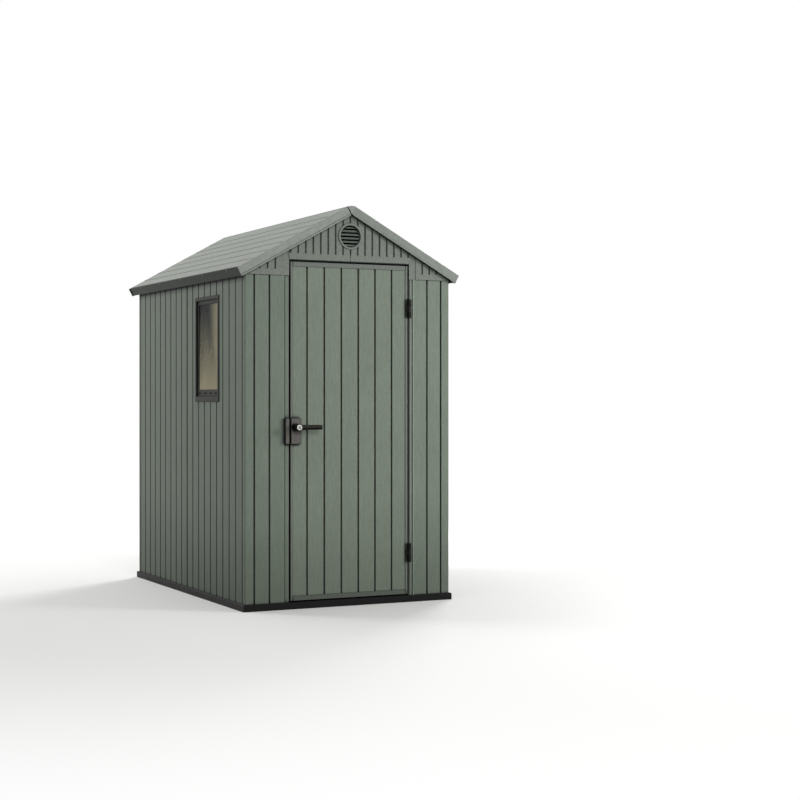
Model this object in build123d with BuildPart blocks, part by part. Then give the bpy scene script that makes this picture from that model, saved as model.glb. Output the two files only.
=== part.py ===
from build123d import *
import os
from math import cos, radians, sin, tan

# Resin garden shed: a floor, walls of grooved panels, a gable roof and one hinged door.
# +X runs to the right along the front, +Y runs back into the depth and +Z is up.
# The origin is the middle of the floor's underside. All sizes are in millimetres.

# Floor and walls
wall_width = 1160
wall_depth = 1755
wall_thickness = 18
floor_thickness = 35
floor_lip = 10
floor_edge_chamfer = 4
corner_return = 35
corner_radius = 9

# Doorway and the strip beside it
doorway_width = 680
doorway_height = 1736
strip_width = 25
strip_recess = 5
strip_seam_width = 5
strip_seam_depth = 5

# Boards moulded into the panels
side_boards = 9
front_boards = 2
back_boards = 6
corner_board = 51
gable_board = 41.7
groove_width = 11
groove_depth = 7
groove_lip = 1.5
side_groove_width = 14
side_groove_depth = 8
joint_groove_width = 20
joint_groove_depth = 11

# Gable panels
gable_proud = 4
gable_leg = 78
gable_plain_band = 36
gable_leg_plain_band = 30
gable_strip_width = 38
gable_strip_recess = 3
seam_width = 5
seam_depth = 2.5

# Roof
roof_angle = 29
roof_thickness = 20
roof_overhang_side = 46
roof_overhang_front = 30
roof_overhang_back = 60
eave_rise = 29
edge_depth = 48
rake_thickness = 14
rake_bead_proud = 3
rake_bead_depth = 7
rake_rounding = 5
eave_thickness = 12
eave_setback = 5
eave_clips = 5
clip_length = 22
clip_height = 7
clip_depth = 4
clip_drop = 3.5
roof_board = 94
roof_first_groove = 106
roof_grooves = 6
roof_groove_width = 13
roof_groove_depth = 4
roof_plain_border = 16
ridge_gap = 6
ridge_crown = 4
ridge_beam_width = 40
ridge_beam_depth = 46

# Gable vents
vent_radius = 67
vent_wall = 5
vent_rim = 10
vent_proud = 5
vent_height = 133
louvre_pitch = 18.5
louvre_length = 13
louvre_thickness = 3.5
louvre_tilt = 40
louvre_bite = 2.5

# Window in the front panel of the left wall
window_width = 364
window_height = 556
window_below_eave = 85
window_from_joint = 328
window_flange = 17
window_sill = 27
window_proud = 5
window_edge_chamfer = 1.2
window_lining = 5
window_lining_inside = 9
sash_setback = 4
sash_thickness = 16
sash_stile = 20
sash_bottom_rail = 34
glass_setback = 3
glass_thickness = 4
glass_bite = 7
sash_slots = 4
sash_slot_length = 40
sash_slot_height = 7
sash_slot_depth = 5
sash_slot_pitch = 84

# Door leaf
door_gap = 7.5
door_thickness = 22
door_stile = 13
door_rail = 23
door_plank = 96
door_grooves = 6
plank_recess = 3
plank_inner_groove_depth = 4
rail_seam_width = 6
rail_seam_depth = 2.5
door_edge_radius = 2.5
doorway_stop_overlap = 12

# Door posts and head behind the doorway
post_width = 38
post_depth = 39
post_step = 17
head_depth = 42

# Hinges
hinge_height = 95
hinge_from_top = 231
hinge_from_bottom = 224
hinge_proud = 12
hinge_barrel_radius = 6.5
hinge_pin_radius = 2.5
hinge_pin_play = 0.06
hinge_knuckle_gap = 1
hinge_plate = 4
hinge_leaf_plate_width = 12
hinge_frame_plate_width = 16
hinge_foot_gap = 5

# Lock and lever
lock_height = 132
lock_centre_height = 903
lock_proud = 22
lock_case_width = 55
lock_case_overhang = 5
keeper_width = 22
keeper_gap = 8
lock_edge_chamfer = 3.5
lever_above_lock_centre = 20
lever_from_edge = 14
lever_hub_radius = 17.5
lever_stand_off = 47
lever_length = 128
lever_root_height = 27
lever_tip_height = 24
lever_thickness = 15
lever_tip_chamfer = 3.7
lever_bevel_height = 10
lever_bevel_depth = 7
spindle_radius = 7
spindle_length = 14
spindle_play = 0.06
lever_gap = 0.4
key_radius = 14
key_proud = 5
key_seat = 4
key_chamfer = 1.5

# Clearances
seat_gap = 0.3
cut_margin = 1

# Planes worked out from the sizes above
half_width = wall_width / 2
half_depth = wall_depth / 2
inner_x = half_width - wall_thickness
inner_y = half_depth - wall_thickness
wall_foot = floor_thickness
doorway_half = doorway_width / 2
doorway_top = wall_foot + doorway_height
gable_foot = doorway_top - gable_leg
eave_x = half_width + roof_overhang_side
eave_z = gable_foot + eave_rise
front_edge = -half_depth - roof_overhang_front
back_edge = half_depth + roof_overhang_back
side_board = (half_depth - corner_return) / side_boards
slope_sin = sin(radians(roof_angle))
slope_cos = cos(radians(roof_angle))
slope_tan = tan(radians(roof_angle))
ridge_run = (eave_x - edge_depth * slope_sin) / slope_cos
ridge_half = eave_x - ridge_run * slope_cos
ridge_z = eave_z + ridge_run * slope_sin
slab_foot_half = ridge_half - roof_thickness * slope_sin
slab_foot_z = ridge_z - roof_thickness * slope_cos

# Places that several pieces share
window_y = -window_from_joint
window_z = gable_foot - window_below_eave - window_height / 2
window_clear_width = window_width - 2 * window_flange
window_clear_height = window_height - window_flange - window_sill
window_lift = (window_sill - window_flange) / 2
window_hole_width = window_clear_width + 2 * (window_lining + seat_gap)
window_hole_height = window_height - 2 * window_flange + 2 * (window_lining + seat_gap)
sash_width = window_clear_width - 2 * seat_gap
sash_height = window_clear_height - 2 * seat_gap
pane_width = sash_width - 2 * sash_stile
pane_height = sash_height - sash_stile - sash_bottom_rail
sash_z = window_z + window_lift
pane_z = sash_z + (sash_bottom_rail - sash_stile) / 2
vent_z = doorway_top + vent_height
vent_bore = vent_radius - vent_rim
louvre_count = int(2 * vent_bore / louvre_pitch)
leaf_edge = doorway_half - door_gap
hinge_x = doorway_half - door_gap / 2
hinge_y = -half_depth - hinge_proud
hinge_heights = {
    "upper": doorway_top - hinge_from_top,
    "lower": wall_foot + hinge_from_bottom,
}
lock_z = lock_centre_height
lever_x = -leaf_edge + lever_from_edge
lever_z = lock_z + lever_above_lock_centre
sides = {"left": -1, "right": 1}
ends = {"front": -1, "back": 1}


def slope_point(side, up_slope, below):
    """Point on a roof slope: distance up from the eave, and depth square to the surface."""
    x = eave_x - up_slope * slope_cos - below * slope_sin
    z = eave_z + up_slope * slope_sin - below * slope_cos
    return (side * x, z)


def soffit(x):
    """Height of the roof panel's underside at a distance from the middle."""
    return eave_z + (eave_x - abs(x)) * slope_tan - roof_thickness / slope_cos


def save(piece, name):
    """Label a finished piece and write its file."""
    piece.part.label = name
    export_step(piece.part, "parts/" + name + ".step")


def groove_cuts(places, turn, foot, width=groove_width, depth=groove_depth):
    """Cross-sections of upright grooves, with eased lips, at points on a wall's face."""
    mouth = width / 2
    throat = mouth - groove_lip
    bed = throat / 2
    with BuildSketch(Plane.XY.offset(foot)) as cuts:
        with Locations(*[Location((x, y, 0), turn) for x, y in places]):
            Polygon(
                (-mouth, cut_margin),
                (-mouth, 0),
                (-throat, -groove_lip),
                (-bed, -depth),
                (bed, -depth),
                (throat, -groove_lip),
                (mouth, 0),
                (mouth, cut_margin),
                align=None,
            )
    return cuts.sketch


def slope_band(side, low_run, high_run, top, bottom, back):
    """Section of a roof piece, on an upright plane at its rear end."""
    with BuildSketch(Plane.XZ.offset(-back)) as section:
        with BuildLine():
            Polyline(
                slope_point(side, low_run, top),
                slope_point(side, high_run, top),
                slope_point(side, high_run, bottom),
                slope_point(side, low_run, bottom),
                close=True,
            )
        make_face()
    return section.sketch


def side_section(side, back):
    """Section of a side wall, with its top cut to the roof's slope."""
    with BuildSketch(Plane.XZ.offset(-back)) as section:
        with BuildLine():
            Polyline(
                (side * inner_x, wall_foot),
                (side * half_width, wall_foot),
                (side * half_width, soffit(half_width)),
                (side * inner_x, soffit(inner_x)),
                close=True,
            )
        make_face()
    return section.sketch


# Floor: one black moulded slab that shows as a rim below the walls
def make_floor():
    with BuildPart() as floor_panel:
        with BuildSketch():
            Rectangle(wall_width + 2 * floor_lip, wall_depth + 2 * floor_lip)
        extrude(amount=floor_thickness)
        chamfer(floor_panel.faces().sort_by(Axis.Z)[-1].edges(), length=floor_edge_chamfer)
    return floor_panel


# Corner panels: an end wall beside the corner, a short return and the post under the eave
def end_wall_outline(side, end, inner_edge, recess):
    """Plan of an end wall's corner panel, from its inner edge round to the return."""
    strip_end = inner_edge + strip_width if recess else inner_edge
    points = [
        (side * inner_edge, end * (half_depth - recess)),
        (side * half_width, end * half_depth),
        (side * half_width, end * (half_depth - corner_return)),
        (side * inner_x, end * (half_depth - corner_return)),
        (side * inner_x, end * inner_y),
        (side * inner_edge, end * inner_y),
    ]
    if recess:
        seam_middle = strip_end - strip_seam_width / 2
        seam_bed = half_depth - recess - strip_seam_depth
        points[1:1] = [
            (side * (strip_end - strip_seam_width), end * (half_depth - recess)),
            (side * seam_middle, end * seam_bed),
            (side * strip_end, end * (half_depth - recess)),
            (side * strip_end, end * half_depth),
        ]
    return points


def make_corner_panel(side, end, inner_edge, recess, grooves):
    face_turn = 180 if end < 0 else 0
    side_turn = -90 * side
    with BuildPart() as panel:
        with BuildSketch(Plane.XY.offset(wall_foot)):
            with BuildLine():
                Polyline(*end_wall_outline(side, end, inner_edge, recess), close=True)
            make_face()
        extrude(amount=gable_foot - wall_foot)
        return_rear = max(end * half_depth, end * (half_depth - corner_return))
        extrude(side_section(side, return_rear), amount=corner_return)
        corner = (side * half_width, end * half_depth, wall_foot)
        upright = panel.edges().filter_by(Axis.Z).sort_by_distance(corner)[0]
        fillet(upright, radius=corner_radius)
        face_places = [(side * x, end * half_depth) for x in grooves]
        extrude(
            groove_cuts(face_places, face_turn, wall_foot),
            amount=gable_foot - wall_foot,
            mode=Mode.SUBTRACT,
        )
        joint_place = [(side * half_width, end * (half_depth - corner_return))]
        extrude(
            groove_cuts(joint_place, side_turn, wall_foot, side_groove_width, side_groove_depth),
            amount=eave_z - wall_foot,
            mode=Mode.SUBTRACT,
        )
    return panel


# Side wall panels, two a side, meeting in a deeper joint halfway along
def make_side_panel(side, end):
    length = half_depth - corner_return
    rear = max(0, end * length)
    side_turn = -90 * side
    with BuildPart() as panel:
        extrude(side_section(side, rear), amount=length)
        places = [(side * half_width, end * k * side_board) for k in range(1, side_boards + 1)]
        extrude(
            groove_cuts(places, side_turn, wall_foot, side_groove_width, side_groove_depth),
            amount=eave_z - wall_foot,
            mode=Mode.SUBTRACT,
        )
        extrude(
            groove_cuts(
                [(side * half_width, 0)],
                side_turn,
                wall_foot,
                joint_groove_width,
                joint_groove_depth,
            ),
            amount=eave_z - wall_foot,
            mode=Mode.SUBTRACT,
        )
        if side < 0 and end < 0:
            with BuildSketch(Plane.YZ.offset(-half_width)):
                with Locations((window_y, window_z)):
                    Rectangle(window_hole_width, window_hole_height)
            extrude(amount=wall_thickness, mode=Mode.SUBTRACT)
    return panel


# Gable panels, two an end, meeting in a seam under the ridge
def gable_outline(side, end):
    points = [
        (side * inner_x, gable_foot),
        (side * inner_x, soffit(inner_x)),
        (side * slab_foot_half, slab_foot_z),
        (0, slab_foot_z),
    ]
    if end > 0:
        return points + [(0, gable_foot)]
    return points + [
        (0, doorway_top),
        (side * doorway_half, doorway_top),
        (side * doorway_half, gable_foot),
    ]


def make_gable_panel(side, end):
    face = end * (half_depth + gable_proud)
    face_turn = 180 if end < 0 else 0
    foot = doorway_top if end < 0 else gable_foot
    strip_outer = doorway_half + gable_strip_width
    boards = [k * gable_board for k in range(int(inner_x / gable_board) + 1)]
    over_leg = [(side * x, face) for x in boards if x > strip_outer]
    if end < 0:
        middle_boards = [(side * x, face) for x in boards if x < doorway_half]
        middle_foot = doorway_top + gable_plain_band
    else:
        middle_boards = [(side * x, face) for x in boards if x <= strip_outer]
        middle_foot = gable_foot + gable_leg_plain_band
    with BuildPart() as panel:
        rear = max(face, end * inner_y)
        with BuildSketch(Plane.XZ.offset(-rear)):
            with BuildLine():
                Polyline(*gable_outline(side, end), close=True)
            make_face()
        extrude(amount=wall_thickness + gable_proud)
        extrude(
            groove_cuts(middle_boards, face_turn, middle_foot),
            amount=ridge_z - middle_foot,
            mode=Mode.SUBTRACT,
        )
        extrude(
            groove_cuts(over_leg, face_turn, gable_foot + gable_leg_plain_band),
            amount=ridge_z - gable_foot,
            mode=Mode.SUBTRACT,
        )
        extrude(
            groove_cuts([(0, face)], face_turn, foot, seam_width, seam_depth),
            amount=ridge_z - foot,
            mode=Mode.SUBTRACT,
        )
        if end < 0:
            with BuildSketch(Plane.XZ.offset(-face)):
                with Locations((side * (doorway_half + gable_strip_width / 2), eave_z)):
                    Rectangle(gable_strip_width, 2 * (ridge_z - eave_z))
            extrude(amount=-gable_strip_recess, mode=Mode.SUBTRACT)
        with BuildSketch(Plane.XZ.offset(-rear)):
            with Locations((0, vent_z)):
                Circle(vent_radius - vent_wall)
        extrude(amount=wall_thickness + gable_proud, mode=Mode.SUBTRACT)
    return panel


# Vents: a rim on the gable, a sleeve through it and tilted louvres between
def make_vent(end):
    face = end * (half_depth + gable_proud)
    outward = Plane(origin=(0, face, vent_z), x_dir=(1, 0, 0), z_dir=(0, end, 0))
    sleeve_radius = vent_radius - vent_wall - seat_gap
    with BuildPart() as vent:
        with BuildSketch(outward):
            Circle(vent_radius)
            Circle(vent_bore, mode=Mode.SUBTRACT)
        extrude(amount=vent_proud)
        with BuildSketch(outward):
            Circle(sleeve_radius)
            Circle(vent_bore, mode=Mode.SUBTRACT)
        extrude(amount=-(wall_thickness + gable_proud))
        with BuildPart(mode=Mode.PRIVATE) as louvres:
            with BuildSketch(Plane.YZ.offset(-vent_radius)):
                for k in range(louvre_count):
                    height = (k - (louvre_count - 1) / 2) * louvre_pitch
                    middle = face - end * wall_thickness / 2
                    with Locations(Location((middle, vent_z + height, 0), -end * louvre_tilt)):
                        Rectangle(louvre_length, louvre_thickness)
            extrude(amount=2 * vent_radius)
            with BuildSketch(outward.offset(vent_proud)):
                Circle(vent_bore + louvre_bite)
            extrude(
                amount=-(wall_thickness + gable_proud + 2 * vent_proud),
                mode=Mode.INTERSECT,
            )
        add(louvres.part)
    return vent


# Posts and head behind the doorway, rebated so that the leaf closes against them
def make_door_post(side):
    lip = doorway_half - doorway_stop_overlap
    stop = -half_depth + door_thickness + door_gap
    rear = -inner_y + post_depth
    with BuildPart() as post:
        with BuildSketch(Plane.XY.offset(wall_foot)):
            with BuildLine():
                Polyline(
                    (side * lip, stop),
                    (side * (lip + post_step), stop),
                    (side * (lip + post_step), -inner_y),
                    (side * (lip + post_width), -inner_y),
                    (side * (lip + post_width), rear),
                    (side * lip, rear),
                    close=True,
                )
            make_face()
        extrude(amount=doorway_height - doorway_stop_overlap - door_gap + head_depth)
    return post


def make_door_head():
    lip = doorway_half - doorway_stop_overlap
    stop = -half_depth + door_thickness + door_gap
    rear = -inner_y + post_depth
    foot = doorway_top - door_gap - doorway_stop_overlap
    with BuildPart() as head:
        with BuildSketch(Plane.YZ.offset(-lip)):
            with BuildLine():
                Polyline(
                    (stop, foot),
                    (stop, foot + post_step + door_gap),
                    (-inner_y, foot + post_step + door_gap),
                    (-inner_y, foot + head_depth),
                    (rear, foot + head_depth),
                    (rear, foot),
                    close=True,
                )
            make_face()
        extrude(amount=2 * lip)
    return head


# Door leaf: a raised border round sunk planks, the same on both faces
def make_door_leaf():
    leaf_half = doorway_half - door_gap
    leaf_foot = wall_foot + door_gap
    leaf_top = doorway_top - door_gap
    field_half = leaf_half - door_stile
    field_foot = leaf_foot + door_rail
    field_height = leaf_top - door_rail - field_foot
    outer_face = -half_depth
    inner_face = outer_face + door_thickness
    places = [(k - (door_grooves - 1) / 2) * door_plank for k in range(door_grooves)]
    with BuildPart() as leaf:
        with BuildSketch(Plane.XZ.offset(-inner_face)):
            with Locations((0, (leaf_foot + leaf_top) / 2)):
                Rectangle(2 * leaf_half, leaf_top - leaf_foot)
        extrude(amount=door_thickness)
        fillet(leaf.edges().filter_by(Axis.Z), radius=door_edge_radius)
        for plane_y in (outer_face + plank_recess, inner_face):
            with BuildSketch(Plane.XZ.offset(-plane_y)):
                with Locations((0, field_foot + field_height / 2)):
                    Rectangle(2 * field_half, field_height)
            extrude(amount=plank_recess, mode=Mode.SUBTRACT)
        extrude(
            groove_cuts([(x, outer_face + plank_recess) for x in places], 180, field_foot),
            amount=field_height,
            mode=Mode.SUBTRACT,
        )
        extrude(
            groove_cuts(
                [(x, inner_face - plank_recess) for x in places],
                0,
                field_foot,
                groove_width,
                plank_inner_groove_depth,
            ),
            amount=field_height,
            mode=Mode.SUBTRACT,
        )
        for face_y, turn in ((outer_face, 180), (inner_face, 0)):
            seams = [(x, face_y) for x in (-field_half, field_half)]
            for foot in (leaf_foot, leaf_top - door_rail):
                extrude(
                    groove_cuts(seams, turn, foot, rail_seam_width, rail_seam_depth),
                    amount=door_rail,
                    mode=Mode.SUBTRACT,
                )
    return leaf


# Hinges: knuckles and plate on the panel, one knuckle and plate on the leaf, and a pin
def lug_section(foot, from_x, to_x, seat_y, base_z):
    """Plan of a knuckle with the web that joins it to its plate."""
    front_y = hinge_y - hinge_barrel_radius
    with BuildSketch(Plane.XY.offset(base_z)) as section:
        with Locations((hinge_x, hinge_y)):
            Circle(hinge_barrel_radius)
        with BuildLine():
            Polyline(
                (hinge_x, front_y),
                (to_x, foot),
                (to_x, seat_y),
                (from_x, seat_y),
                (from_x, hinge_y + hinge_barrel_radius),
                (hinge_x, hinge_y),
                close=True,
            )
        make_face()
        with Locations((hinge_x, hinge_y)):
            Circle(hinge_pin_radius + hinge_pin_play, mode=Mode.SUBTRACT)
    return section.sketch


def make_hinge_half(centre_z, on_leaf):
    low = centre_z - hinge_height / 2
    knuckle = (hinge_height - 2 * hinge_knuckle_gap) / 3
    away = -1 if on_leaf else 1
    plate_width = hinge_leaf_plate_width if on_leaf else hinge_frame_plate_width
    seat_y = -half_depth if on_leaf else -half_depth + strip_recess
    foot = seat_y - hinge_plate
    from_x = hinge_x + away * hinge_foot_gap
    to_x = hinge_x + away * (hinge_foot_gap + plate_width)
    plate_from = hinge_x + away * (hinge_barrel_radius if on_leaf else hinge_foot_gap)
    if on_leaf:
        starts = [low + knuckle + hinge_knuckle_gap]
    else:
        starts = [low, low + 2 * (knuckle + hinge_knuckle_gap)]
    with BuildPart() as half:
        for start in starts:
            extrude(lug_section(foot, from_x, to_x, seat_y, start), amount=knuckle)
        with BuildSketch(Plane.XY.offset(low)):
            with Locations(((plate_from + to_x) / 2, (foot + seat_y) / 2)):
                Rectangle(abs(to_x - plate_from), hinge_plate)
        extrude(amount=hinge_height)
    return half


def make_hinge_pin(centre_z):
    with BuildPart() as pin:
        with BuildSketch(Plane.XY.offset(centre_z - hinge_height / 2)):
            with Locations((hinge_x, hinge_y)):
                Circle(hinge_pin_radius)
        extrude(amount=hinge_height)
    return pin


# Lock: a case on the leaf, a keeper on the strip, and a lever with a key cylinder
def make_lock_case():
    left = -leaf_edge - lock_case_overhang
    with BuildPart() as case:
        with BuildSketch(Plane.XZ.offset(half_depth)):
            with Locations((left + lock_case_width / 2, lock_z)):
                Rectangle(lock_case_width, lock_height)
        extrude(amount=lock_proud)
        chamfer(case.faces().sort_by(Axis.Y)[0].edges(), length=lock_edge_chamfer)
        pad_left = -leaf_edge + door_stile + seat_gap
        pad_right = left + lock_case_width
        with BuildSketch(Plane.XZ.offset(half_depth)):
            with Locations(((pad_left + pad_right) / 2, lock_z)):
                Rectangle(pad_right - pad_left, lock_height)
        extrude(amount=-plank_recess)
        with BuildSketch(Plane.XZ.offset(half_depth + lock_proud)):
            with Locations((lever_x, lever_z)):
                Circle(spindle_radius + spindle_play)
        extrude(amount=-(spindle_length + lever_gap), mode=Mode.SUBTRACT)
    return case


def make_keeper():
    right = -leaf_edge - lock_case_overhang - keeper_gap
    left = right - keeper_width
    strip_left = -doorway_half - strip_width
    with BuildPart() as keeper:
        with BuildSketch(Plane.XY.offset(lock_z - lock_height / 2)):
            with BuildLine():
                Polyline(
                    (left, -half_depth),
                    (strip_left + seat_gap, -half_depth),
                    (strip_left + seat_gap, -half_depth + strip_recess),
                    (right, -half_depth + strip_recess),
                    (right, -half_depth - lock_proud),
                    (left, -half_depth - lock_proud),
                    close=True,
                )
            make_face()
        extrude(amount=lock_height)
        chamfer(keeper.faces().sort_by(Axis.Y)[0].edges(), length=lock_edge_chamfer)
    return keeper


def make_lever():
    hub_base = -half_depth - lock_proud - lever_gap
    arm_back = hub_base - lever_stand_off
    with BuildPart() as lever:
        with BuildSketch(Plane.XZ.offset(-hub_base)):
            with Locations((lever_x, lever_z)):
                Circle(lever_hub_radius)
        extrude(amount=lever_stand_off + lever_thickness)
        with BuildSketch(Plane.XZ.offset(-arm_back)):
            with BuildLine():
                Polyline(
                    (lever_x, lever_z - lever_root_height / 2),
                    (lever_x + lever_length, lever_z - lever_tip_height / 2),
                    (lever_x + lever_length, lever_z + lever_tip_height / 2),
                    (lever_x, lever_z + lever_root_height / 2),
                    close=True,
                )
            make_face()
        extrude(amount=lever_thickness)
        tip_edges = lever.faces().sort_by(Axis.X)[-1].edges()
        chamfer(tip_edges, length=lever_tip_chamfer)
        arm_front = arm_back - lever_thickness
        arm_foot = lever_z - lever_root_height / 2
        with BuildSketch(Plane.YZ.offset(lever_x + lever_hub_radius)):
            with BuildLine():
                Polyline(
                    (arm_front, arm_foot + lever_bevel_height),
                    (arm_front + lever_bevel_depth, arm_foot - cut_margin),
                    (arm_front - cut_margin, arm_foot - cut_margin),
                    (arm_front - cut_margin, arm_foot + lever_bevel_height),
                    close=True,
                )
            make_face()
        extrude(amount=lever_length, mode=Mode.SUBTRACT)
        with BuildSketch(Plane.XZ.offset(-hub_base)):
            with Locations((lever_x, lever_z)):
                Circle(spindle_radius)
        extrude(amount=-spindle_length)
        with BuildSketch(Plane.XZ.offset(-arm_back + lever_thickness)):
            with Locations((lever_x, lever_z)):
                Circle(key_radius + seat_gap)
        extrude(amount=-key_seat, mode=Mode.SUBTRACT)
    return lever


def make_key_cylinder():
    seat = -half_depth - lock_proud - lever_gap - lever_stand_off - lever_thickness + key_seat
    with BuildPart() as cylinder:
        with BuildSketch(Plane.XZ.offset(-seat)):
            with Locations((lever_x, lever_z)):
                Circle(key_radius)
        extrude(amount=key_seat + key_proud)
        front = cylinder.faces().sort_by(Axis.Y)[0]
        chamfer(front.edges(), length=key_chamfer)
    return cylinder


# Window: a flanged frame in the wall, a sash set back in it and one pane of glass
def wall_ring(outer_x, depth, middle_z, width, height, hole_z, hole_width, hole_height):
    """A rectangular ring on the left wall, from an outer plane inwards."""
    with BuildPart() as ring:
        with BuildSketch(Plane.YZ.offset(outer_x)):
            with Locations((window_y, middle_z)):
                Rectangle(width, height)
            with Locations((window_y, hole_z)):
                Rectangle(hole_width, hole_height, mode=Mode.SUBTRACT)
        extrude(amount=depth)
    return ring.part


def make_window_frame():
    face = -half_width - window_proud
    lining_width = window_hole_width - 2 * seat_gap
    lining_height = window_hole_height - 2 * seat_gap
    with BuildPart() as frame:
        add(
            wall_ring(
                face,
                window_proud,
                window_z,
                window_width,
                window_height,
                sash_z,
                window_clear_width,
                window_clear_height,
            )
        )
        add(
            wall_ring(
                -half_width,
                wall_thickness + window_lining_inside,
                window_z,
                lining_width,
                lining_height,
                sash_z,
                window_clear_width,
                window_clear_height,
            )
        )
        outer_edges = frame.faces().sort_by(Axis.X)[0].edges()
        chamfer(outer_edges, length=window_edge_chamfer)
    return frame


def make_window_sash():
    outer = -half_width + sash_setback
    with BuildPart() as sash:
        add(
            wall_ring(
                outer,
                sash_thickness,
                sash_z,
                sash_width,
                sash_height,
                pane_z,
                pane_width,
                pane_height,
            )
        )
        with BuildSketch(Plane.YZ.offset(outer + glass_setback)):
            with Locations((window_y, pane_z)):
                Rectangle(pane_width + 2 * glass_bite, pane_height + 2 * glass_bite)
        extrude(amount=sash_thickness, mode=Mode.SUBTRACT)
        slot_z = sash_z - sash_height / 2 + sash_bottom_rail / 2
        with BuildSketch(Plane.YZ.offset(outer)):
            with Locations((window_y, slot_z)):
                with GridLocations(sash_slot_pitch, 0, sash_slots, 1):
                    Rectangle(sash_slot_length, sash_slot_height)
        extrude(amount=sash_slot_depth, mode=Mode.SUBTRACT)
    return sash


def make_window_glass():
    rebate = -half_width + sash_setback + glass_setback
    with BuildPart() as glass:
        with BuildSketch(Plane.YZ.offset(rebate)):
            with Locations((window_y, pane_z)):
                Rectangle(
                    pane_width + 2 * (glass_bite - seat_gap),
                    pane_height + 2 * (glass_bite - seat_gap),
                )
        extrude(amount=glass_thickness)
    return glass


# Roof: a grooved slab a side, eave fascias, end bands, a ridge piece and a ridge beam
def make_roof_panel(side):
    rear = back_edge - rake_thickness
    run = rear - (front_edge + rake_thickness)
    gap = ridge_gap if side < 0 else 0
    mouth = roof_groove_width / 2
    bed = mouth / 2
    with BuildPart() as panel:
        low = eave_setback + eave_thickness
        extrude(slope_band(side, low, ridge_run - gap, 0, roof_thickness, rear), amount=run)
        for k in range(roof_grooves):
            place = roof_first_groove + k * roof_board
            with BuildSketch(Plane.XZ.offset(-(rear - roof_plain_border))) as groove:
                with BuildLine():
                    Polyline(
                        slope_point(side, place - mouth, -cut_margin),
                        slope_point(side, place - mouth, 0),
                        slope_point(side, place - bed, roof_groove_depth),
                        slope_point(side, place + bed, roof_groove_depth),
                        slope_point(side, place + mouth, 0),
                        slope_point(side, place + mouth, -cut_margin),
                        close=True,
                    )
                make_face()
            extrude(groove.sketch, amount=run - 2 * roof_plain_border, mode=Mode.SUBTRACT)
    return panel


def make_eave_fascia(side):
    rear = back_edge - rake_thickness
    run = rear - (front_edge + rake_thickness)
    clip_pitch = run / eave_clips
    with BuildPart() as fascia:
        extrude(
            slope_band(side, eave_setback, eave_setback + eave_thickness, 0, edge_depth, rear),
            amount=run,
        )
        for k in range(eave_clips):
            middle = front_edge + rake_thickness + k * clip_pitch + clip_pitch / 2
            extrude(
                slope_band(
                    side,
                    eave_setback - cut_margin,
                    eave_setback + clip_depth,
                    clip_drop,
                    clip_drop + clip_height,
                    middle + clip_length / 2,
                ),
                amount=clip_length,
                mode=Mode.SUBTRACT,
            )
    return fascia


def make_rake_band(side, end):
    gap = ridge_gap if side < 0 else 0
    outer = front_edge if end < 0 else back_edge
    face = outer - end * rake_bead_proud
    flat = rake_thickness - rake_bead_proud
    rear_of_face = max(face, face - end * flat)
    rear_of_bead = max(outer, outer - end * rake_bead_proud)
    with BuildPart() as band:
        extrude(
            slope_band(side, 0, ridge_run - gap, 0, edge_depth, rear_of_face),
            amount=flat,
        )
        face_plane = band.faces().sort_by(Axis.Y)[0 if end < 0 else -1]
        long_edges = face_plane.edges().sort_by(SortBy.LENGTH)[-2:]
        fillet(long_edges.sort_by(Axis.Z)[-1], radius=rake_rounding)
        extrude(
            slope_band(
                side,
                0,
                ridge_run - gap,
                edge_depth - rake_bead_depth,
                edge_depth,
                rear_of_bead,
            ),
            amount=rake_bead_proud,
        )
    return band


def ridge_section(foot_half, foot_z, back):
    """Section of the ridge piece: a wedge between the slopes with a crowned top."""
    with BuildSketch(Plane.XZ.offset(-back)) as section:
        with BuildLine():
            if foot_half:
                Line((-foot_half, foot_z), (foot_half, foot_z))
            Line((foot_half, foot_z), (ridge_half, ridge_z))
            ThreePointArc(
                (ridge_half, ridge_z),
                (0, ridge_z + ridge_crown),
                (-ridge_half, ridge_z),
            )
            Line((-ridge_half, ridge_z), (-foot_half, foot_z))
        make_face()
    return section.sketch


def make_ridge_cap():
    rear = back_edge - rake_thickness
    run = rear - (front_edge + rake_thickness)
    wedge_foot = ridge_z - edge_depth * slope_cos
    with BuildPart() as cap:
        extrude(ridge_section(slab_foot_half, slab_foot_z, rear), amount=run)
        for back in (back_edge - rake_bead_proud, front_edge + rake_thickness):
            extrude(ridge_section(0, wedge_foot, back), amount=rake_thickness - rake_bead_proud)
    return cap


def make_ridge_beam():
    half = ridge_beam_width / 2
    with BuildPart() as beam:
        with BuildSketch(Plane.XZ.offset(-inner_y)):
            with BuildLine():
                Polyline(
                    (-half, slab_foot_z - ridge_beam_depth),
                    (half, slab_foot_z - ridge_beam_depth),
                    (half, soffit(half)),
                    (slab_foot_half, slab_foot_z),
                    (-slab_foot_half, slab_foot_z),
                    (-half, soffit(half)),
                    close=True,
                )
            make_face()
        extrude(amount=2 * inner_y)
    return beam


# Write every piece
os.makedirs("parts", exist_ok=True)

save(make_floor(), "floor")

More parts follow.
